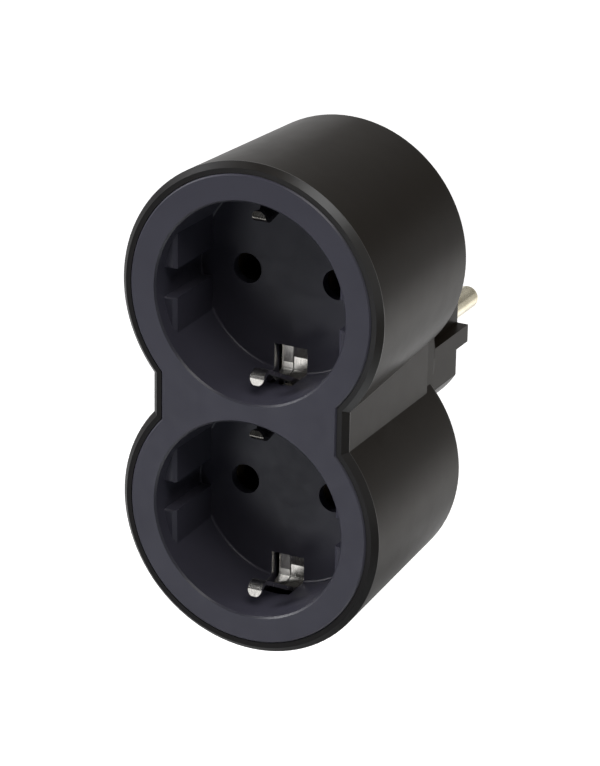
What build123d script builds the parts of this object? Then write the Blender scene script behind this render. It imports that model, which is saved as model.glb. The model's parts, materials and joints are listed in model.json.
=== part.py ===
from build123d import *
import math
import os

# Two-way plug-in surge protector: two earthed sockets in front, one earthed plug behind.
# Millimetres. +Z is up, the sockets face -Y and the plug points to +Y.
# The origin is midway between the two plug pins, on the plug's end face.

# Mains interface, shared by the plug and both sockets
pin_pitch = 19.0
pin_radius = 2.4
pin_length = 19.0
pin_end_round = 1.7
recess_radius = 19.75
recess_depth = 17.5

# Black housing
rim_width = 7.5
body_depth = 42.0
waist_half_width = 20.65
barrel_draft = 2.8
waist_draft = 2.0
shell_wall = 2.8
back_wall = 2.5
back_edge_round = 1.5
rim_setback = 0.2
rim_chamfer = 1.1
waist_rear_half_width = 18.6
waist_step_start = 4.3
waist_step_length = 1.6

# Grey front plate and the two cups behind it
plate_inset = 2.2
plate_gap = 0.1
plate_thickness = 2.6
plate_bevel = 0.3
recess_draft = 0.2
mouth_bevel = 0.35
floor_thickness = 2.0
floor_fillet = 0.5
cup_wall = 1.9
pin_hole_radius = 3.0
guide_stand = 2.75
guide_setback = 3.0
guide_notch = 5.8
guide_height = 20.6
guide_bevel = 0.7
guide_notch_bevel = 0.3

# Earth brackets of the sockets: insets from the recess wall and distances behind the front
earth_sheet = 0.8
earth_width = 5.8
tongue_width = 2.9
tip_inset = 2.45
tip_setback = 3.7
apex_inset = 5.45
apex_setback = 4.5
shoulder_setback = 12.0
hollow_inset = -1.15
hollow_setback = 16.8
bend_inset = -0.25
apex_bend = 1.6
hollow_bend = 1.2
base_bend = 1.0
slot_side_gap = 0.6
slot_setback = 7.5
slot_inset = 2.75
window_inset = 5.65

# Plug on the back wall
plug_radius = 18.4
plug_depth = 17.8
plug_half_flats = 15.85
rib_half_width = 18.2
rib_height = 3.6
collar_length = 1.3
plug_wall = 2.2
plug_end_wall = 3.0
plug_end_round = 1.2
groove_width = 8.4
groove_rise = 16.3
pin_collar_radius = 2.7
pin_flange_radius = 3.6
pin_flange = 1.5
pin_neck_radius = 2.0
pin_spigot_radius = 1.6
pin_head_radius = 2.6
pin_head = 0.8
carrier_thickness = 6.0

# Plug earth strap
strap_sheet = 1.0
strap_width = 7.0
strap_bend = 1.4
strap_end_gap = 1.8

# Contacts, busbars and the cover behind them
contact_sheet = 0.6
contact_half_gap = 2.45
contact_flare = 0.35
contact_flare_length = 2.0
leaf_height = 5.2
contact_base = 8.0
pin_passage_radius = 3.3
sleeve_wall = 1.2
sleeve_length = 7.5
busbar_sheet = 1.0
busbar_width = 8.0
busbar_overhang = 7.5
busbar_corner = 2.5
cover_thickness = 1.6
cover_margin = 0.7

# Surge elements above the upper socket's contacts
varistor_radius = 7.0
varistor_thickness = 4.5
varistor_round = 1.5
varistor_rise = 11.25
cradle_height = 2.1
cradle_half_gap = 3.75
cradle_rib = 1.5
cradle_length = 10.5
fuse_radius = 2.0
fuse_length = 10.0
fuse_round = 0.5
fuse_offset = 3.5
lead_radius = 0.4
lead_bend = 0.9
lead_offset = 2.6
lead_slack = 1.2

# Fasteners
screw_x = 13.5
screw_rise = 11.25
screw_radius = 1.45
screw_length = 12.0
screw_head_radius = 2.9
screw_head = 2.0
screw_head_round = 0.8
screw_sink = 0.4
drive_width = 0.9
drive_length = 3.6
drive_depth = 1.1
post_radius = 3.6
post_neck_radius = 2.45
pad_radius = 4.8
rivet_radius = 1.2
rivet_head_radius = 2.0
rivet_head = 0.7
rivet_head_round = 0.55
rivet_inset = 12.75
foot_height = 6.0

# Clearances, and how far cuts run past a face and bosses run into what carries them
touch_gap = 0.05
slide_gap = 0.1
pocket_gap = 0.2
overrun = 1.0
bite = 0.5

# Planes across the depth
back_plane = -plug_depth
front_plane = back_plane - body_depth
rim_plane = front_plane + rim_setback
rim_edge = rim_plane + rim_chamfer
plate_back = front_plane + plate_thickness
floor_front = front_plane + recess_depth
floor_back = floor_front + floor_thickness
back_inner = back_plane - back_wall
strap_front = back_inner - strap_sheet
cover_back = strap_front - earth_sheet - slide_gap
cover_front = cover_back - cover_thickness
busbar_front = cover_front - busbar_sheet
screw_seat = back_plane - screw_sink - screw_head

# Places across the front
cup_radius = recess_radius + cup_wall
barrel_radius = recess_radius + rim_width
socket_pitch = 2 * (cup_radius + slide_gap)
upper = socket_pitch / 2
lower = -socket_pitch / 2
pin_half = pin_pitch / 2
slot_half = earth_width / 2 + slot_side_gap
sleeve_bore = math.hypot(contact_half_gap + contact_sheet + contact_flare, leaf_height / 2) + pocket_gap
rear_inset = waist_half_width - waist_rear_half_width
rivet_z = upper - rivet_inset
foot_rivet_z = foot_height - rivet_head_radius
along_y = Plane(origin=(0, 0, 0), x_dir=(1, 0, 0), z_dir=(0, 1, 0))


def block(near, far):
    # A box between two opposite corners
    size = [abs(b - a) for a, b in zip(near, far)]
    middle = [(a + b) / 2 for a, b in zip(near, far)]
    return Pos(*middle) * Box(*size)


def rod(x, z, radius, start, end):
    # A cylinder along Y between two depths
    return Pos(x, (start + end) / 2, z) * Rot(90, 0, 0) * Cylinder(radius, abs(end - start))


def corner(face, point, radius):
    # Round the corner of a flat face that lies at a point
    nearest = face.vertices().sort_by_distance(Vector(*point))[0]
    return face.fillet_2d(radius, [nearest])


def turned(points, rounds=()):
    # A solid of revolution about Y, from pairs of radius and depth
    face = make_face(Polyline(*points, close=True)).face()
    for point, radius in rounds:
        face = corner(face, point, radius)
    return revolve(face, Axis.Y)


def pushed(section, start, end):
    # A flat section, drawn in X and Z, pushed along Y between two depths
    return Pos(0, start, 0) * extrude(along_y * section, end - start)


def bent_strip(points, bends, sheet, width):
    # A bent strip: its centre line as depth and height, spread both ways along X
    line = FilletPolyline(*points, radius=bends)
    return extrude(Plane.YZ * trace(line, line_width=sheet), width / 2, both=True)


def wire(points):
    # A round lead along a bent path
    path = FilletPolyline(*points, radius=lead_bend)
    section = Plane(origin=path @ 0, z_dir=path % 0) * Circle(lead_radius)
    return sweep(section, path=path)


def drawn_in(depth, degrees=barrel_draft):
    # How far the draft has drawn the outside in at a depth
    return math.tan(math.radians(degrees)) * (depth - rim_edge)


def eight(barrel_steps, waist_steps, back_round=0.0):
    # Two round barrels and the waist between them, from pairs of inset and depth, front to back
    ring = [(barrel_radius - inset, depth) for inset, depth in barrel_steps]
    rounds = [(ring[-1], back_round)] if back_round else []
    barrel = turned([(0, ring[0][1])] + ring + [(0, ring[-1][1])], rounds)
    side = [(waist_half_width - inset, depth) for inset, depth in waist_steps]
    other = [(-half, depth) for half, depth in reversed(side)]
    waist = extrude(make_face(Polyline(*side, *other, close=True)), socket_pitch / 4, both=True)
    return Pos(0, 0, upper) * barrel + Pos(0, 0, lower) * barrel + waist


def screw_places():
    heights = (upper + screw_rise, lower - screw_rise)
    return [(side * screw_x, z) for side in (-1, 1) for z in heights]


def pin_places():
    return [(side * pin_half, z) for side in (-1, 1) for z in (upper, lower)]


# Housing: drafted shell with the front rim, the back wall and the moulded plug
def plug_outline():
    ribs = Rectangle(2 * rib_half_width, rib_height)
    return Circle(plug_radius) & (Rectangle(2 * plug_half_flats, 2 * plug_radius) + ribs)


def plug_hollow(margin):
    inner = Rectangle(2 * (plug_half_flats - plug_wall - margin), 2 * (groove_rise - plug_wall - margin))
    return Circle(plug_radius - plug_wall - margin) & inner


def shell():
    step_start = back_plane - waist_step_start
    step_end = step_start + waist_step_length
    rim = [(rim_chamfer, rim_plane), (0, rim_edge)]
    outer = eight(rim + [(drawn_in(back_plane), back_plane)],
                  rim + [(drawn_in(step_start, waist_draft), step_start), (rear_inset, step_end), (rear_inset, back_plane)],
                  back_edge_round)
    mouth = [(shell_wall + drawn_in(front_plane), front_plane)]
    inner_start = step_start - shell_wall
    inner_end = step_end - shell_wall
    inner = eight(mouth + [(shell_wall + drawn_in(back_inner), back_inner)],
                  mouth + [(shell_wall + drawn_in(inner_start, waist_draft), inner_start),
                           (shell_wall + rear_inset, inner_end), (shell_wall + rear_inset, back_inner)])
    # Rebate that the front plate drops into
    rebate = plate_inset - plate_gap
    seat = eight([(rebate, front_plane), (rebate, plate_back)], [(rebate, front_plane), (rebate, plate_back)])
    return outer - inner - seat


def rear_housing():
    plug = pushed(plug_outline(), back_plane, 0)
    plug = fillet(plug.faces().sort_by(Axis.Y)[-1].edges(), plug_end_round)
    housing = shell() + plug + rod(0, 0, plug_radius, back_inner, back_plane + collar_length)
    # Pads that clamp the cover at the screws
    for x, z in screw_places():
        housing += rod(x, z, pad_radius, cover_back, back_plane - bite)
    housing -= pushed(plug_hollow(0), back_inner - overrun, -plug_end_wall)
    for side in (-1, 1):
        housing -= rod(side * pin_half, 0, pin_collar_radius + slide_gap, -plug_end_wall - overrun, overrun)
        # Open groove that the earth strap lies in, and its way through the back wall
        floor = side * groove_rise
        top = side * (plug_radius + overrun)
        strap_top = side * (groove_rise + strap_sheet + slide_gap)
        half = strap_width / 2 + slide_gap
        housing -= block((-groove_width / 2, back_plane + collar_length, floor), (groove_width / 2, overrun, top))
        housing -= block((-half, back_inner, floor), (half, back_plane + collar_length, strap_top))
        housing -= block((-half, back_inner, side * (groove_rise - strap_bend)),
                         (half, back_inner + strap_bend, strap_top))
    for x, z in screw_places():
        housing -= rod(x, z, screw_radius + pocket_gap, cover_back - overrun, back_plane)
        housing -= rod(x, z, screw_head_radius + pocket_gap, screw_seat, back_plane + overrun)
    return housing


# Front: the plate, and a cup with guide blocks, earth slots and screw posts behind each mouth
def guide_block(side, way):
    near = (side * (recess_radius - guide_stand), front_plane + guide_setback, way * guide_notch / 2)
    far = (side * (recess_radius + overrun), floor_front + overrun, way * guide_height / 2)
    guide = block(near, far)
    inner_face = guide.faces().sort_by(Axis.X)[0 if side > 0 else -1]
    guide = chamfer(inner_face.edges().sort_by(Axis.Y)[0], guide_bevel)
    front_face = guide.faces().sort_by(Axis.Y)[0]
    return chamfer(front_face.edges().sort_by(Axis.Z)[0 if way > 0 else -1], guide_notch_bevel)


def recess_bore():
    # Round space of one recess, bevelled at the mouth and filleted at the floor
    floor_radius = recess_radius - recess_draft
    mouth = recess_radius + mouth_bevel
    points = [(0, front_plane - overrun), (mouth, front_plane - overrun), (mouth, front_plane),
              (recess_radius, front_plane + mouth_bevel), (floor_radius, floor_front), (0, floor_front)]
    return turned(points, [((floor_radius, floor_front), floor_fillet)])


def front_plate():
    edge = [(plate_inset + plate_bevel, front_plane), (plate_inset, front_plane + plate_bevel),
            (plate_inset, plate_back)]
    return eight(edge, edge) - Pos(0, 0, upper) * recess_bore() - Pos(0, 0, lower) * recess_bore()


def socket_cup(way):
    # One cup about its own axis; way is 1 for the upper cup and -1 for the lower
    cup = rod(0, 0, cup_radius, plate_back, floor_back)
    posts = [(side * screw_x, way * screw_rise) for side in (-1, 1)]
    for x, z in posts:
        cup += rod(x, z, post_radius, floor_back - bite, cover_front)
        cup += rod(x, z, post_neck_radius, cover_front - bite, cover_back - slide_gap)
    space = recess_bore()
    for side in (-1, 1):
        for height in (-1, 1):
            space -= guide_block(side, height)
    # Slots through the wall and windows through the floor, which the earth bracket's arms run in
    for height in (-1, 1):
        outside = height * (cup_radius + overrun)
        space += block((-slot_half, front_plane + slot_setback, height * (recess_radius - slot_inset)),
                       (slot_half, floor_back + overrun, outside))
        space += block((-slot_half, floor_front - bite, height * (recess_radius - window_inset)),
                       (slot_half, floor_back + overrun, outside))
    for side in (-1, 1):
        space += rod(side * pin_half, 0, pin_hole_radius, floor_front - overrun, floor_back + overrun)
    cup -= space
    for x, z in posts:
        cup -= rod(x, z, screw_radius + touch_gap, screw_seat - screw_length - overrun, cover_back)
    return cup


def upper_socket_cup():
    # The upper cup also carries the two ribs that the varistor rests on
    cup = socket_cup(1)
    for side in (-1, 1):
        cup += block((side * cradle_half_gap, floor_back - bite, varistor_rise - cradle_length / 2),
                     (side * (cradle_half_gap + cradle_rib), floor_back + cradle_height,
                      varistor_rise + cradle_length / 2))
    return Pos(0, 0, upper) * cup


def contact_sleeves():
    # Insulating tubes round the contacts, seated on the cups' floors
    end = floor_back + sleeve_length
    tubes = [rod(x, z, sleeve_bore + sleeve_wall, floor_back, end) -
             rod(x, z, sleeve_bore, floor_back - overrun, end + overrun) for x, z in pin_places()]
    return Compound([tube.solid() for tube in tubes])


# Earth path: a sprung bracket in each socket, the link between them and the plug's strap
def earth_bracket(z, rivet):
    arm = [(front_plane + tip_setback, recess_radius - tip_inset),
           (front_plane + apex_setback, recess_radius - apex_inset),
           (front_plane + hollow_setback, recess_radius - hollow_inset),
           (floor_back + earth_sheet / 2, recess_radius - bend_inset)]
    points = arm + [(depth, -rise) for depth, rise in reversed(arm)]
    bends = [apex_bend, hollow_bend, base_bend]
    strip = bent_strip(points, bends + bends[::-1], earth_sheet, earth_width)
    # Seen from above, the arms narrow to a tongue
    half = earth_width / 2
    slim = tongue_width / 2
    tip = front_plane + tip_setback - earth_sheet
    neck = front_plane + apex_setback + apex_bend
    shoulder = front_plane + shoulder_setback
    rear = floor_back + 2 * earth_sheet
    right = [(slim, tip), (slim, neck), (half, shoulder), (half, rear)]
    left = [(-x, depth) for x, depth in reversed(right)]
    strip &= extrude(make_face(Polyline(*right, *left, close=True)), cup_radius, both=True)
    # Seen from the front, each tongue ends in a half round
    end = recess_radius - tip_inset
    for way in (-1, 1):
        outside = block((-half, tip, way * (end - slim)), (half, neck, way * (end + overrun)))
        strip -= outside - rod(0, way * (end - slim), slim, tip, neck)
    hole = rod(0, rivet, rivet_radius + touch_gap, floor_back - overrun, floor_back + earth_sheet + overrun)
    return Pos(0, 0, z) * strip - hole


def earth_link():
    plate_front = floor_back + earth_sheet
    half = rivet_z + 2 * rivet_head_radius
    link = block((-earth_width / 2, plate_front, -half), (earth_width / 2, plate_front + earth_sheet, half))
    foot = strap_front - earth_sheet / 2
    link += bent_strip([(plate_front + earth_sheet / 2, 0), (foot, 0), (foot, foot_height)], [earth_sheet],
                       earth_sheet, earth_width)
    for z in (rivet_z, -rivet_z):
        link -= rod(0, z, rivet_radius + touch_gap, plate_front - overrun, plate_front + earth_sheet + overrun)
    return link - rod(0, foot_rivet_z, rivet_radius + touch_gap, strap_front - 2 * earth_sheet, strap_front + overrun)


def plug_earth_strap():
    base = back_inner - strap_sheet / 2
    rise = groove_rise + strap_sheet / 2
    end = -strap_end_gap
    points = [(end, rise), (base, rise), (base, -rise), (end, -rise)]
    strap = bent_strip(points, [strap_bend, strap_bend], strap_sheet, strap_width)
    return strap - rod(0, foot_rivet_z, rivet_radius + touch_gap, strap_front - overrun, back_inner + overrun)


def rivet(z, start, end):
    # Flush at the front, peened to a round head at the back
    head = end + rivet_head
    points = [(0, start), (rivet_radius, start), (rivet_radius, end), (rivet_head_radius, end),
              (rivet_head_radius, head), (0, head)]
    return Pos(0, 0, z) * turned(points, [((rivet_head_radius, head), rivet_head_round)])


def earth_rivets():
    sheets_back = floor_back + 2 * earth_sheet
    return Compound([rivet(rivet_z, floor_back, sheets_back).solid(),
                     rivet(-rivet_z, floor_back, sheets_back).solid(),
                     rivet(foot_rivet_z, strap_front - earth_sheet, back_inner).solid()])


# Live path: plug pins, busbars and socket contacts
def plug_pin(side):
    head = busbar_front - pin_head
    flange_front = -plug_end_wall - pin_flange
    points = [(0, head), (pin_head_radius, head), (pin_head_radius, busbar_front),
              (pin_spigot_radius, busbar_front), (pin_spigot_radius, cover_front),
              (pin_neck_radius, cover_front), (pin_neck_radius, flange_front),
              (pin_flange_radius, flange_front), (pin_flange_radius, -plug_end_wall),
              (pin_collar_radius, -plug_end_wall), (pin_collar_radius, 0),
              (pin_radius, 0), (pin_radius, pin_length), (0, pin_length)]
    return Pos(side * pin_half, 0, 0) * turned(points, [((pin_radius, pin_length), pin_end_round)])


def pin_carrier():
    back = -plug_end_wall - pin_flange
    carrier = pushed(plug_hollow(pocket_gap), back - carrier_thickness, back)
    for side in (-1, 1):
        carrier -= rod(side * pin_half, 0, pin_neck_radius + touch_gap,
                       back - carrier_thickness - overrun, back + overrun)
    return carrier


def busbar(side):
    half_length = upper + busbar_overhang
    strip = RectangleRounded(busbar_width, 2 * half_length, busbar_corner)
    for z in (upper, lower):
        strip -= Pos(0, z) * Circle(pin_passage_radius)
    strip -= Circle(pin_spigot_radius + touch_gap)
    return Pos(side * pin_half, 0, 0) * pushed(strip, busbar_front, cover_front)


def socket_contact(side, z):
    # Two sprung leaves with flared mouths on a base plate that is welded to the busbar
    base_front = busbar_front - contact_sheet
    plate = Rectangle(contact_base, contact_base) - Circle(pin_passage_radius)
    contact = pushed(plate, base_front, busbar_front)
    mouth = floor_back + pocket_gap
    line_x = contact_half_gap + contact_sheet / 2
    for way in (-1, 1):
        path = FilletPolyline((way * line_x, busbar_front), (way * line_x, mouth + contact_flare_length),
                              (way * (line_x + contact_flare), mouth), radius=contact_sheet)
        contact += extrude(trace(path, line_width=contact_sheet), leaf_height / 2, both=True)
    return Pos(side * pin_half, 0, z) * contact


def contact_cover():
    # Insulating plate that holds the busbars, clamped between the posts and the housing
    inset = shell_wall + drawn_in(cover_back) + cover_margin
    waist_inset = shell_wall + rear_inset + cover_margin
    cover = eight([(inset, cover_front), (inset, cover_back)],
                  [(waist_inset, cover_front), (waist_inset, cover_back)])
    start = cover_front - overrun
    end = cover_back + overrun
    for x, z in screw_places():
        cover -= rod(x, z, post_neck_radius + slide_gap, start, end)
    for x, z in pin_places():
        cover -= rod(x, z, pin_passage_radius, start, end)
    for side in (-1, 1):
        cover -= rod(side * pin_half, 0, pin_neck_radius + slide_gap, start, end)
    leg_half = earth_width / 2 + slide_gap
    leg_low = -earth_sheet / 2 - slide_gap
    leg_high = 2 * earth_sheet
    return cover - block((-leg_half, start, leg_low), (leg_half, end, leg_high))


# Surge path: a varistor between the busbars, with a thermal fuse against its back
varistor_front = floor_back + cradle_height
varistor_back = varistor_front + varistor_thickness
varistor_middle = varistor_front + varistor_thickness / 2
varistor_z = upper + varistor_rise
fuse_depth = varistor_back + fuse_radius + touch_gap
tap_depth = busbar_front - lead_radius - touch_gap
tap_z = upper + contact_base / 2 + lead_radius + lead_slack
fuse_low = tap_z + lead_bend + lead_slack
fuse_high = fuse_low + fuse_length
bridge_z = max(varistor_z + varistor_radius, fuse_high) + lead_slack


def varistor():
    rim = [(varistor_radius, varistor_front), (varistor_radius, varistor_back)]
    disc = turned([(0, varistor_front)] + rim + [(0, varistor_back)], [(point, varistor_round) for point in rim])
    drop_z = varistor_z - varistor_radius - lead_slack
    neutral_lead = wire([(-lead_offset, varistor_middle, varistor_z - varistor_radius / 2),
                         (-lead_offset, varistor_middle, drop_z),
                         (-lead_offset, tap_depth - contact_flare_length - lead_slack, drop_z),
                         (-pin_half + leaf_height / 2 + lead_slack, tap_depth, tap_z),
                         (-pin_half, tap_depth, tap_z)])
    fuse_lead = wire([(fuse_offset, varistor_middle, varistor_z + varistor_radius / 2),
                      (fuse_offset, varistor_middle, bridge_z),
                      (fuse_offset, fuse_depth - lead_radius - touch_gap, bridge_z)])
    return Pos(0, 0, varistor_z) * disc + neutral_lead + fuse_lead


def thermal_fuse():
    can = Pos(fuse_offset, fuse_depth, (fuse_low + fuse_high) / 2) * Cylinder(fuse_radius, fuse_length)
    can = fillet(can.edges().filter_by(GeomType.CIRCLE), fuse_round)
    line_lead = wire([(fuse_offset, fuse_depth, fuse_low + bite), (fuse_offset, fuse_depth, tap_z),
                      (fuse_offset, tap_depth, tap_z), (pin_half, tap_depth, tap_z)])
    top_lead = Pos(fuse_offset, fuse_depth, (fuse_high - bite + bridge_z + lead_slack) / 2) * Cylinder(
        lead_radius, bridge_z + lead_slack - fuse_high + bite)
    return can + line_lead + top_lead


# Screws that pull the housing onto the insert's posts
def housing_screws():
    head_top = screw_seat + screw_head
    tip = screw_seat - screw_length
    points = [(0, tip), (screw_radius / 2, tip), (screw_radius, tip + screw_radius), (screw_radius, screw_seat),
              (screw_head_radius, screw_seat), (screw_head_radius, head_top), (0, head_top)]
    screw = turned(points, [((screw_head_radius, head_top), screw_head_round)])
    for long_x, long_z in ((drive_length, drive_width), (drive_width, drive_length)):
        screw -= block((-long_x / 2, head_top - drive_depth, -long_z / 2), (long_x / 2, head_top + overrun, long_z / 2))
    return Compound([(Pos(x, 0, z) * screw).solid() for x, z in screw_places()])


pieces = {
    "rear_housing": rear_housing(),
    "front_plate": front_plate(),
    "upper_socket_cup": upper_socket_cup(),
    "lower_socket_cup": Pos(0, 0, lower) * socket_cup(-1),
    "contact_sleeves": contact_sleeves(),
    "contact_cover": contact_cover(),
    "pin_carrier": pin_carrier(),
    "line_pin": plug_pin(1),
    "neutral_pin": plug_pin(-1),
    "line_busbar": busbar(1),
    "neutral_busbar": busbar(-1),
    "upper_line_contact": socket_contact(1, upper),
    "upper_neutral_contact": socket_contact(-1, upper),
    "lower_line_contact": socket_contact(1, lower),
    "lower_neutral_contact": socket_contact(-1, lower),
    "upper_earth_bracket": earth_bracket(upper, rivet_z),
    "lower_earth_bracket": earth_bracket(lower, -rivet_z),
    "earth_link": earth_link(),
    "plug_earth_strap": plug_earth_strap(),
    "earth_rivets": earth_rivets(),
    "varistor": varistor(),
    "thermal_fuse": thermal_fuse(),
    "housing_screws": housing_screws(),
}

os.makedirs("parts", exist_ok=True)
for name, piece in pieces.items():
    export_step(piece, "parts/" + name + ".step")
    print(name, len(piece.solids()), "solids", round(piece.volume, 1), "mm3")
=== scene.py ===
import bmesh
import bpy
import json
import math
from mathutils import Matrix, Vector


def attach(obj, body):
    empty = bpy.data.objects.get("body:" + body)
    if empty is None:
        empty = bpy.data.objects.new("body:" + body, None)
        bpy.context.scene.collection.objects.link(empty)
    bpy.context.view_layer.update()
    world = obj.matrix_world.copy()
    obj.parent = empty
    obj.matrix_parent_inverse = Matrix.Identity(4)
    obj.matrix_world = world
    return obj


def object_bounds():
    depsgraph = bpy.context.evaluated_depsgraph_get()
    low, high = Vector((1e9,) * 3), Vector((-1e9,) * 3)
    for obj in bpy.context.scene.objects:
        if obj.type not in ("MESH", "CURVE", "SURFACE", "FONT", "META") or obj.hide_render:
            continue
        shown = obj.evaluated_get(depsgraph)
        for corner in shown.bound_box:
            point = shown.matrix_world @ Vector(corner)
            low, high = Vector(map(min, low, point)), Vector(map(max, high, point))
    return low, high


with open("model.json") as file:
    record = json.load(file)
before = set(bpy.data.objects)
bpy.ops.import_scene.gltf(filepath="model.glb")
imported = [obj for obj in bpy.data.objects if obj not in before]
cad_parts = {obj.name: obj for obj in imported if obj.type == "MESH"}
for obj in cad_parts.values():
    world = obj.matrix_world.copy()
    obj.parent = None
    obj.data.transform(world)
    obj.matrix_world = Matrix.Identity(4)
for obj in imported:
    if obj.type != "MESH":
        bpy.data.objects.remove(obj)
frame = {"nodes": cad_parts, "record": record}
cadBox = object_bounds()
nodes = frame["nodes"]
scene = bpy.context.scene
scene.view_settings.view_transform = "Standard"
print("frame loaded:", len(nodes), "nodes")

# camera, solved from the outline, the recess mouths and the pin holes in the photograph
photoCamera = {
    "target": (0.000116, -0.0398, -0.000859),  # metres
    "azimuth": 26.922,  # degrees, to the right of straight on
    "elevation": 21.783,
    "roll": 0.895,
    "distance": 0.67178,  # metres
    "focal": 3509.91,  # pixels
    "centre": (297.022, 383.683),  # pixels, where the lens axis meets the picture
    "picture": (600, 766),
    "sensor": 36.0,  # millimetres, along the picture's height
    "clip": 0.01,
}


def placeCamera(look):
    a, e, r = (math.radians(look[key]) for key in ("azimuth", "elevation", "roll"))
    back = Vector((math.sin(a) * math.cos(e), -math.cos(a) * math.cos(e), math.sin(e)))
    right = Vector((math.cos(a), math.sin(a), 0))
    up = back.cross(right)
    rolledRight = right * math.cos(r) + up * math.sin(r)
    rolledUp = up * math.cos(r) - right * math.sin(r)
    width, height = look["picture"]
    lens = bpy.data.cameras.new("photoCamera")
    lens.sensor_fit = "VERTICAL"
    lens.sensor_height = look["sensor"]
    lens.lens = look["focal"] * look["sensor"] / height
    lens.shift_x = (width / 2 - look["centre"][0]) / height
    lens.shift_y = (look["centre"][1] - height / 2) / height
    lens.clip_start = look["clip"]
    camera = bpy.data.objects.new("photoCamera", lens)
    turn = Matrix((rolledRight, rolledUp, back)).transposed().to_4x4()
    camera.matrix_world = Matrix.Translation(Vector(look["target"]) + back * look["distance"]) @ turn
    scene.collection.objects.link(camera)
    scene.camera = camera


placeCamera(photoCamera)
print("camera placed")


# small helpers for node trees
def startMaterial(name):
    material = bpy.data.materials.new(name)
    material.use_nodes = True
    tree = material.node_tree
    return material, tree, tree.nodes["Principled BSDF"]


def objectPoints(tree, stretch=(1, 1, 1)):
    place = tree.nodes.new("ShaderNodeTexCoord")
    scale = tree.nodes.new("ShaderNodeMapping")
    scale.inputs["Scale"].default_value = stretch
    tree.links.new(place.outputs["Object"], scale.inputs["Vector"])
    return scale.outputs["Vector"]


def noise(tree, points, grain, detail=2.0, rough=0.5):
    # grain is the size of one blotch in metres
    node = tree.nodes.new("ShaderNodeTexNoise")
    node.inputs["Scale"].default_value = 1 / grain
    node.inputs["Detail"].default_value = detail
    node.inputs["Roughness"].default_value = rough
    tree.links.new(points, node.inputs["Vector"])
    return node.outputs["Fac"]


def spread(tree, value, low, high, start=0.3, end=0.7):
    node = tree.nodes.new("ShaderNodeMapRange")
    node.inputs["From Min"].default_value = start
    node.inputs["From Max"].default_value = end
    node.inputs["To Min"].default_value = low
    node.inputs["To Max"].default_value = high
    tree.links.new(value, node.inputs["Value"])
    return node.outputs["Result"]


def blendColours(tree, value, dark, light, start=0.3, end=0.7):
    ramp = tree.nodes.new("ShaderNodeValToRGB")
    ramp.color_ramp.elements[0].position = start
    ramp.color_ramp.elements[0].color = (*dark, 1)
    ramp.color_ramp.elements[1].position = end
    ramp.color_ramp.elements[1].color = (*light, 1)
    tree.links.new(value, ramp.inputs["Fac"])
    return ramp.outputs["Color"]


def bump(tree, height, depth, strength):
    # depth in metres
    node = tree.nodes.new("ShaderNodeBump")
    node.inputs["Distance"].default_value = depth
    node.inputs["Strength"].default_value = strength
    tree.links.new(height, node.inputs["Height"])
    return node.outputs["Normal"]


def along(tree, axis):
    # one object coordinate in metres
    split = tree.nodes.new("ShaderNodeSeparateXYZ")
    tree.links.new(objectPoints(tree), split.inputs["Vector"])
    return split.outputs[axis]


def reckon(tree, operation, *values):
    node = tree.nodes.new("ShaderNodeMath")
    node.operation = operation
    for socket, value in zip(node.inputs, values):
        if isinstance(value, (int, float)):
            socket.default_value = value
        else:
            tree.links.new(value, socket)
    return node.outputs["Value"]


# the mix node's sockets share their names, so they go by number
mixSockets = {
    "RGBA": {"factor": 0, "first": 6, "second": 7, "result": 2},
    "VECTOR": {"factor": 0, "first": 4, "second": 5, "result": 1},
}


def override(tree, kind, mask, socket, value):
    # where the mask is 1, the value takes the place of what the socket had
    node = tree.nodes.new("ShaderNodeMix")
    node.data_type = kind
    place = mixSockets[kind]
    tree.links.new(mask, node.inputs[place["factor"]])
    tree.links.new(socket.links[0].from_socket, node.inputs[place["first"]])
    node.inputs[place["second"]].default_value = value
    return node.outputs[place["result"]]


def recolour(tree, mask, colour):
    socket = tree.nodes["Principled BSDF"].inputs["Base Color"]
    tree.links.new(override(tree, "RGBA", mask, socket, (*colour, 1)), socket)


# moulded plastic: eroded grain, slow colour drift, uneven sheen; lengths in metres
blackHousing = {
    "dark": (0.0085, 0.0065, 0.0046), "light": (0.0098, 0.0076, 0.0054), "drift": 0.012,
    "sheenLow": 0.33, "sheenHigh": 0.36, "patch": 0.004,
    "grain": 0.00022, "grainDepth": 0.00002, "grainStrength": 0.20, "specular": 0.04,
    # the rim colour is a painted reflection that lightens the rim; the tilt, start and end values mark the
    # rim's upper right, which keeps the dark colour as painted shade and gets a raised specular as a painted
    # highlight
    "tint": (1.0, 0.94, 0.84), "rimTint": (0.94, 0.97, 1.0), "rimReflectionGrey": (0.021, 0.020, 0.020),
    "rimStart": -0.0583, "rimBlend": 0.0002, "rimSpecular": 0.50,
    "shadeAndHighlightTilt": 0.6, "shadeAndHighlightStart": 0.005, "shadeAndHighlightEnd": 0.035,
}
greyFront = {
    "dark": (0.049, 0.048, 0.065), "light": (0.055, 0.054, 0.073), "drift": 0.010,
    "sheenLow": 0.30, "sheenHigh": 0.38, "patch": 0.003,
    "grain": 0.00016, "grainDepth": 0.00002, "grainStrength": 0.20, "specular": 0.35,
    "axis": 0.02175, "mouth": 0.01992,
    # the bevel colour is painted shade that dims the mouth bevels' bright line
    "bevelHalf": 0.00016, "bevelBack": -0.0593, "bevelShade": (0.034, 0.034, 0.046),
}
innerPlastic = {
    "dark": (0.022, 0.022, 0.023), "light": (0.030, 0.030, 0.031), "drift": 0.008,
    "sheenLow": 0.45, "sheenHigh": 0.60, "patch": 0.003,
    "grain": 0.00025, "grainDepth": 0.00002, "grainStrength": 0.25, "specular": 0.4,
}


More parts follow.
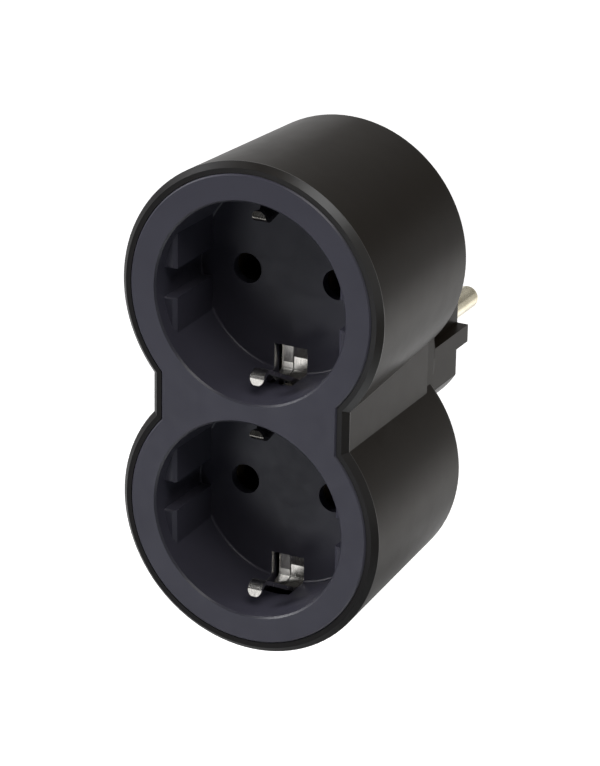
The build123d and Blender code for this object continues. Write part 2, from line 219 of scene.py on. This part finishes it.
def mouldedPlastic(name, look):
    material, tree, shader = startMaterial(name)
    points = objectPoints(tree)
    drift = noise(tree, points, look["drift"], 3)
    tree.links.new(blendColours(tree, drift, look["dark"], look["light"]), shader.inputs["Base Color"])
    patch = noise(tree, points, look["patch"], 4)
    tree.links.new(spread(tree, patch, look["sheenLow"], look["sheenHigh"]), shader.inputs["Roughness"])
    grain = noise(tree, points, look["grain"], 2)
    tree.links.new(bump(tree, grain, look["grainDepth"], look["grainStrength"]), shader.inputs["Normal"])
    shader.inputs["Specular IOR Level"].default_value = look["specular"]
    return material


def housingPlastic(name, look):
    # the rim is painted a lighter grey than the sides, a painted reflection; at the upper right it keeps the
    # sides' dark colour as painted shade and gets a raised specular for the key light's highlight
    material = mouldedPlastic(name, look)
    tree = material.node_tree
    shader = tree.nodes["Principled BSDF"]
    rim = spread(tree, along(tree, "Y"), 1, 0, look["rimStart"] - look["rimBlend"], look["rimStart"])
    rise = reckon(tree, "MULTIPLY", along(tree, "Z"), look["shadeAndHighlightTilt"])
    corner = reckon(tree, "ADD", along(tree, "X"), rise)
    # the upper right of the rim: painted shade in its colour, and a raised specular where the key light's
    # highlight falls
    shadeAndHighlight = spread(tree, corner, 0, 1, look["shadeAndHighlightStart"], look["shadeAndHighlightEnd"])
    recolour(tree, reckon(tree, "MULTIPLY", rim, reckon(tree, "SUBTRACT", 1.0, shadeAndHighlight)), look["rimReflectionGrey"])
    shine = spread(tree, reckon(tree, "MULTIPLY", rim, shadeAndHighlight), look["specular"], look["rimSpecular"], 0, 1)
    tree.links.new(shine, shader.inputs["Specular IOR Level"])
    tint = blendColours(tree, rim, look["tint"], look["rimTint"], 0, 1)
    tree.links.new(tint, shader.inputs["Specular Tint"])
    return material


def frontPlastic(name, look):
    # the recess mouths' bevels are painted a little darker, painted shade that dims the bright line they
    # catch
    material = mouldedPlastic(name, look)
    tree = material.node_tree
    rise = reckon(tree, "SUBTRACT", reckon(tree, "ABSOLUTE", along(tree, "Z")), look["axis"])
    reach = reckon(tree, "SQRT", reckon(tree, "ADD", reckon(tree, "POWER", along(tree, "X"), 2.0),
                                        reckon(tree, "POWER", reckon(tree, "ABSOLUTE", rise), 2.0)))
    # painted shade on the mouth bevels
    shadedBevel = reckon(tree, "MULTIPLY", reckon(tree, "COMPARE", reach, look["mouth"], look["bevelHalf"]),
                   reckon(tree, "LESS_THAN", along(tree, "Y"), look["bevelBack"]))
    recolour(tree, shadedBevel, look["bevelShade"])
    return material


# plated and bare metals: fine drawn lines and slight stains
lineStrength = 0.3
earthNickel = {
    "dark": (0.76, 0.74, 0.70), "light": (0.90, 0.88, 0.84), "stain": 0.0035,
    "sheenLow": 0.14, "sheenHigh": 0.28, "lines": (1, 1, 0.12), "lineGrain": 0.00018, "lineDepth": 0.000012,
    "pitch": 0.0435, "foot": 0.0002, "kneeLeft": 0.0035, "kneeRight": 0.0048, "kneeBlend": 0.0001,
    "top": 0.0080, "front": -0.0442, "seam": -0.0004, "crease": 0.0023, "seamHalf": 0.00012,
    "footLean": 17, "topLean": 10, "leanShare": 0.9,  # leans in degrees
    # the tip colour is painted shade on the top clips' tips, standing in for a dark reflection
    "tipHeight": 0.034, "tipFront": -0.050, "tipShade": (0.26, 0.25, 0.23),
}
pinNickel = {
    "dark": (0.40, 0.36, 0.26), "light": (0.53, 0.49, 0.38), "stain": 0.005,
    "sheenLow": 0.16, "sheenHigh": 0.30, "lines": (1, 1, 1), "lineGrain": 0.00020, "lineDepth": 0.000010,
}
contactBrass = {
    "dark": (0.20, 0.15, 0.08), "light": (0.30, 0.23, 0.13), "stain": 0.004,
    "sheenLow": 0.45, "sheenHigh": 0.60, "lines": (1, 1, 0.12), "lineGrain": 0.00020, "lineDepth": 0.000012,
}
tinnedCan = {
    "dark": (0.50, 0.50, 0.50), "light": (0.64, 0.64, 0.63), "stain": 0.002,
    "sheenLow": 0.28, "sheenHigh": 0.42, "lines": (1, 1, 0.2), "lineGrain": 0.00015, "lineDepth": 0.000010,
}
zincScrew = {
    "dark": (0.30, 0.30, 0.30), "light": (0.44, 0.44, 0.43), "stain": 0.0015,
    "sheenLow": 0.26, "sheenHigh": 0.42, "lines": (1, 1, 1), "lineGrain": 0.00015, "lineDepth": 0.000010,
}


def platedMetal(name, look):
    material, tree, shader = startMaterial(name)
    points = objectPoints(tree)
    stain = noise(tree, points, look["stain"], 4, 0.6)
    tree.links.new(blendColours(tree, stain, look["dark"], look["light"]), shader.inputs["Base Color"])
    lines = noise(tree, objectPoints(tree, look["lines"]), look["lineGrain"], 3)
    tree.links.new(spread(tree, lines, look["sheenLow"], look["sheenHigh"]), shader.inputs["Roughness"])
    tree.links.new(bump(tree, lines, look["lineDepth"], lineStrength), shader.inputs["Normal"])
    shader.inputs["Metallic"].default_value = 1.0
    return material


def lean(tree, mask, degrees):
    # where the mask is 1, the surface shines as if it faced the front and leaned back
    socket = tree.nodes["Principled BSDF"].inputs["Normal"]
    angle = math.radians(degrees)
    facing = (0, -math.cos(angle), math.sin(angle))
    unit = tree.nodes.new("ShaderNodeVectorMath")
    unit.operation = "NORMALIZE"
    tree.links.new(override(tree, "VECTOR", mask, socket, facing), unit.inputs[0])
    tree.links.new(unit.outputs["Vector"], socket)


def bracketNickel(name, look):
    # behind each window the strip is pressed into facets, parted by a seam and a crease
    # the tips of the top clips are painted darker, painted shade standing in for the dark reflection they
    # show
    material = platedMetal(name, look)
    tree = material.node_tree
    across = along(tree, "X")
    height = reckon(tree, "WRAP", along(tree, "Z"), look["pitch"], 0.0)
    # painted shade on the tips of the top clips
    recolour(tree, reckon(tree, "MULTIPLY", reckon(tree, "GREATER_THAN", height, look["tipHeight"]),
                          reckon(tree, "LESS_THAN", along(tree, "Y"), look["tipFront"])), look["tipShade"])
    knee = spread(tree, across, look["kneeLeft"], look["kneeRight"],
                  look["seam"] - look["kneeBlend"], look["seam"] + look["kneeBlend"])
    window = reckon(tree, "GREATER_THAN", along(tree, "Y"), look["front"])
    seam = reckon(tree, "SUBTRACT", 1.0, reckon(tree, "COMPARE", across, look["seam"], look["seamHalf"]))
    crease = reckon(tree, "SUBTRACT", 1.0, reckon(tree, "COMPARE", height, look["crease"], look["seamHalf"]))
    plain = reckon(tree, "MULTIPLY", window, reckon(tree, "MULTIPLY", seam, crease))
    foot = reckon(tree, "MULTIPLY", reckon(tree, "LESS_THAN", height, knee),
                  reckon(tree, "GREATER_THAN", height, look["foot"]))
    top = reckon(tree, "MULTIPLY", reckon(tree, "GREATER_THAN", height, knee),
                 reckon(tree, "LESS_THAN", height, look["top"]))
    top = reckon(tree, "MULTIPLY", top, reckon(tree, "LESS_THAN", across, look["seam"]))
    for facet, degrees in ((foot, look["footLean"]), (top, look["topLean"])):
        share = reckon(tree, "MULTIPLY", facet, look["leanShare"])
        lean(tree, reckon(tree, "MULTIPLY", plain, share), degrees)
    return material


# dipped epoxy on the varistor
varistorBlue = {
    "dark": (0.020, 0.075, 0.240), "light": (0.030, 0.100, 0.300), "drift": 0.004,
    "sheenLow": 0.22, "sheenHigh": 0.36, "patch": 0.002,
    "grain": 0.0012, "grainDepth": 0.00006, "grainStrength": 0.35, "specular": 0.5,
}

finishes = {
    "housing_plastic": housingPlastic("blackHousing", blackHousing),
    "insert_plastic": frontPlastic("greyFront", greyFront),
    "cover_plastic": mouldedPlastic("innerPlastic", innerPlastic),
    "pin_nickel": platedMetal("pinNickel", pinNickel),
    "contact_brass": platedMetal("contactBrass", contactBrass),
    "earth_nickel": bracketNickel("earthNickel", earthNickel),
    "varistor_coating": mouldedPlastic("varistorBlue", varistorBlue),
    "fuse_can": platedMetal("tinnedCan", tinnedCan),
    "screw_steel": platedMetal("zincScrew", zincScrew),
}
for part in frame["record"]["subparts"]:
    mesh = nodes[part["node"]].data
    mesh.materials.clear()
    mesh.materials.append(finishes[part["material_slot"]])

# the earth slots start further back in the photograph, so a lip closes the front end of each
slotLip = {"radius": 0.01972, "wall": 0.0016, "half": 0.00345, "front": -0.05228, "rear": -0.0483,
           "steps": 8, "sharp": 0.5,  # radians
           "axes": {"upper": 0.02175, "lower": -0.02175}, "ways": {"High": 1, "Low": -1}}


def closeSlot(name, axis, way, look):
    form = bmesh.new()
    front, rear = look["front"], look["rear"]
    radii = (look["radius"], look["radius"] + look["wall"])
    rows = []
    for step in range(look["steps"] + 1):
        x = look["half"] * (2 * step / look["steps"] - 1)
        inner, outer = (axis + way * math.sqrt(radius ** 2 - x ** 2) for radius in radii)
        section = ((front, inner), (front, outer), (rear, outer), (rear, inner))
        rows.append([form.verts.new((x, y, z)) for y, z in section])
    for left, right in zip(rows, rows[1:]):
        for k in range(4):
            form.faces.new((left[k], left[(k + 1) % 4], right[(k + 1) % 4], right[k]))
    form.faces.new(rows[0])
    form.faces.new(rows[-1])
    bmesh.ops.recalc_face_normals(form, faces=form.faces)
    mesh = bpy.data.meshes.new(name)
    form.to_mesh(mesh)
    form.free()
    mesh.shade_smooth()
    mesh.set_sharp_from_angle(angle=look["sharp"])
    mesh.materials.append(finishes["insert_plastic"])
    lip = bpy.data.objects.new(name, mesh)
    scene.collection.objects.link(lip)
    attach(lip, "root")


for place, axis in slotLip["axes"].items():
    for end, way in slotLip["ways"].items():
        closeSlot(place + "SlotLip" + end, axis, way, slotLip)
print("slot lips made")


# pale floor, well below the part, because it hangs in a wall socket
floorLook = {"drop": 0.30, "size": 6.0, "colour": (0.86, 0.86, 0.86), "glow": 0.8, "roughness": 0.9,
             "darkNear": -0.15, "darkFar": -1.10, "darkHalf": 1.6, "darkColour": (0.017, 0.017, 0.017)}


def whiteRays(tree):
    # 1 for the rays that should meet a plain white background
    path = tree.nodes.new("ShaderNodeLightPath")
    most = path.outputs["Is Camera Ray"]
    for name in ("Is Glossy Ray", "Is Transmission Ray"):
        most = reckon(tree, "MAXIMUM", most, path.outputs[name])
    return most


def layFloor(look):
    half = look["size"] / 2
    level = cadBox[0][2] - look["drop"]
    mesh = bpy.data.meshes.new("floor")
    mesh.from_pydata([(-half, -half, level), (half, -half, level), (half, half, level), (-half, half, level)],
                     [], [(0, 1, 2, 3)])
    floor = bpy.data.objects.new("floor", mesh)
    scene.collection.objects.link(floor)
    material, tree, shader = startMaterial("paleFloor")
    # in front of the part the floor is dark to reflections, as if the cloth ran on over it
    front = reckon(tree, "MULTIPLY", reckon(tree, "LESS_THAN", along(tree, "Y"), look["darkNear"]),
                   reckon(tree, "GREATER_THAN", along(tree, "Y"), look["darkFar"]))
    sides = reckon(tree, "LESS_THAN", reckon(tree, "ABSOLUTE", along(tree, "X")), look["darkHalf"])
    unseen = reckon(tree, "SUBTRACT", 1.0, tree.nodes.new("ShaderNodeLightPath").outputs["Is Camera Ray"])
    dark = reckon(tree, "MULTIPLY", reckon(tree, "MULTIPLY", front, sides), unseen)
    colour = blendColours(tree, dark, look["colour"], look["darkColour"], 0, 1)
    tree.links.new(colour, shader.inputs["Base Color"])
    shader.inputs["Roughness"].default_value = look["roughness"]
    shader.inputs["Emission Color"].default_value = (1, 1, 1, 1)
    glow = reckon(tree, "MULTIPLY", whiteRays(tree), reckon(tree, "SUBTRACT", 1.0, dark))
    tree.links.new(spread(tree, glow, 0, look["glow"], 0, 1), shader.inputs["Emission Strength"])
    mesh.materials.append(material)


layFloor(floorLook)

# studio: even surroundings and soft boxes; lengths in metres, power in watts
worldLook = {"fill": 0.22}
softBoxes = [
    {"name": "keyBox", "place": (0.34, -0.46, 0.83), "aim": (0, -0.04, 0), "size": 0.5, "power": 4.2,
     "colour": (1.0, 0.98, 0.96)},
    {"name": "leftBox", "place": (-0.75, -0.46, 0.37), "aim": (0, -0.04, 0), "size": 0.4, "power": 6.8,
     "colour": (0.98, 0.98, 1.0)},
    {"name": "glintBox", "place": (-0.26, -0.55, -0.29), "aim": (0, -0.04, 0), "size": 0.24, "power": 0.28,
     "colour": (0.93, 0.95, 1.0)},
    {"name": "frontBox", "place": (-0.42, -0.92, 0.09), "aim": (0, -0.05, 0), "size": 0.30, "power": 0.30,
     "colour": (1.0, 1.0, 1.0)},
    {"name": "lowBox", "place": (0.14, -0.26, -0.30), "aim": (0, -0.05, -0.03), "size": 0.25, "power": 0.3,
     "colour": (0.92, 0.98, 1.0)},
    {"name": "sideBox", "place": (0.80, 0.15, 0.45), "aim": (0, -0.04, 0), "size": 0.4, "power": 1.5,
     "colour": (1.0, 0.98, 0.96)},
    {"name": "backBox", "place": (-0.25, 0.60, 0.85), "aim": (0, -0.02, 0), "size": 0.4, "power": 1.5,
     "colour": (1.0, 0.98, 0.96)},
    {"name": "edgeBox", "place": (0.24, 0.62, -0.29), "aim": (0, -0.04, 0), "size": 0.3, "power": 0.34,
     "colour": (1.0, 0.98, 0.96)},
]

# dark cloth behind and above the camera, so the front of the part has something dark to reflect
clothLook = {"back": -1.10, "half": 1.6, "height": 1.6, "over": -0.25, "lift": 0.002,
             "dark": (0.012, 0.012, 0.012), "light": (0.022, 0.022, 0.022), "weave": 0.003}


def hangCloth(look):
    level = cadBox[0][2] - floorLook["drop"] + look["lift"]
    half, back, height, over = look["half"], look["back"], look["height"], look["over"]
    mesh = bpy.data.meshes.new("cloth")
    mesh.from_pydata([(-half, back, level), (half, back, level), (half, back, height), (-half, back, height),
                      (half, over, height), (-half, over, height)], [], [(0, 1, 2, 3), (3, 2, 4, 5)])
    cloth = bpy.data.objects.new("cloth", mesh)
    scene.collection.objects.link(cloth)
    material, tree, shader = startMaterial("darkCloth")
    weave = noise(tree, objectPoints(tree), look["weave"])
    tree.links.new(blendColours(tree, weave, look["dark"], look["light"]), shader.inputs["Base Color"])
    shader.inputs["Roughness"].default_value = 1.0
    shader.inputs["Specular IOR Level"].default_value = 0.0
    mesh.materials.append(material)
    cloth.visible_camera = False
    cloth.visible_shadow = False  # the floor in front of it stays lit


hangCloth(clothLook)

# grey cards: the upper barrel and the pin reflect the one behind, the lower barrel's flank the one below
greyCards = [
    {"name": "greyCard", "corner": (-0.12, 0.25, 0.06), "width": (0.37, 0, 0), "height": (0, 0, 0.095),
     "tone": 0.40},
    {"name": "lowCard", "corner": (-0.12, -0.05, -0.12), "width": (0.18, 0, 0), "height": (0, 0.16, 0),
     "tone": 0.62},
]


def hangCard(look):
    corner, width, height = (Vector(look[key]) for key in ("corner", "width", "height"))
    mesh = bpy.data.meshes.new(look["name"])
    mesh.from_pydata([corner, corner + width, corner + width + height, corner + height], [], [(0, 1, 2, 3)])
    card = bpy.data.objects.new(look["name"], mesh)
    scene.collection.objects.link(card)
    material, _, shader = startMaterial(look["name"])
    shader.inputs["Base Color"].default_value = (0, 0, 0, 1)
    shader.inputs["Specular IOR Level"].default_value = 0.0
    shader.inputs["Emission Color"].default_value = (1, 1, 1, 1)
    shader.inputs["Emission Strength"].default_value = look["tone"]
    mesh.materials.append(material)
    card.visible_camera = False


for look in greyCards:
    hangCard(look)


def lightWorld(look):
    world = bpy.data.worlds.new("studio")
    world.use_nodes = True
    tree = world.node_tree
    background = tree.nodes["Background"]
    background.inputs["Color"].default_value = (1, 1, 1, 1)
    tree.links.new(spread(tree, whiteRays(tree), look["fill"], 1.0, 0, 1), background.inputs["Strength"])
    scene.world = world


def hangSoftBox(look):
    lamp = bpy.data.lights.new(look["name"], "AREA")
    lamp.shape = "SQUARE"
    lamp.size = look["size"]
    lamp.energy = look["power"]
    lamp.color = look["colour"]
    box = bpy.data.objects.new(look["name"], lamp)
    away = Vector(look["place"]) - Vector(look["aim"])
    box.matrix_world = Matrix.Translation(look["place"]) @ away.to_track_quat("Z", "Y").to_matrix().to_4x4()
    scene.collection.objects.link(box)


lightWorld(worldLook)
for look in softBoxes:
    hangSoftBox(look)
print("floor, world and", len(softBoxes), "soft boxes ready")
